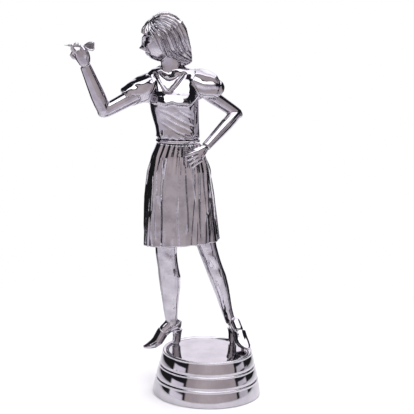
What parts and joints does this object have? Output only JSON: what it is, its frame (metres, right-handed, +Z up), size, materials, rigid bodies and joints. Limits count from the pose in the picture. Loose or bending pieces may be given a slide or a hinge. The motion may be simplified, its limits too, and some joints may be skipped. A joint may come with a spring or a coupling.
{
  "type": "figure trophy",
  "caption": "Plated figure of a dart thrower in blouse, skirt and court shoes on a stepped round base.",
  "frame": {"origin": "on the floor, under the middle of the whole part", "axes": "+Z up, -Y the way the chest faces, -X the way the figure looks and aims"},
  "size_m": [0.0736, 0.04, 0.1393],
  "materials": {
    "plated_base": "polished",
    "plated_skin": "polished",
    "plated_cloth": "polished",
    "plated_hair": "polished",
    "plated_dart": "polished",
    "brass_insert": "turned",
    "steel_pin": "drawn"
  },
  "bodies": {
    "root": {"base_shell": "plated_base", "threaded_insert": "brass_insert", "top_plate": "plated_base", "right_foot_pin": "steel_pin", "left_foot_pin": "steel_pin", "right_leg": "plated_skin", "left_leg": "plated_skin", "right_shoe": "plated_cloth", "left_shoe": "plated_cloth", "skirt": "plated_cloth", "belt": "plated_cloth", "blouse": "plated_cloth", "collar": "plated_cloth", "right_sleeve": "plated_cloth", "left_sleeve": "plated_cloth", "right_arm": "plated_skin", "left_arm": "plated_skin", "right_hand": "plated_skin", "left_hand": "plated_skin", "dart_body": "plated_dart", "dart_flight": "plated_dart", "head": "plated_skin", "necklace": "plated_skin", "hair": "plated_hair"}
  },
  "joints": []
}
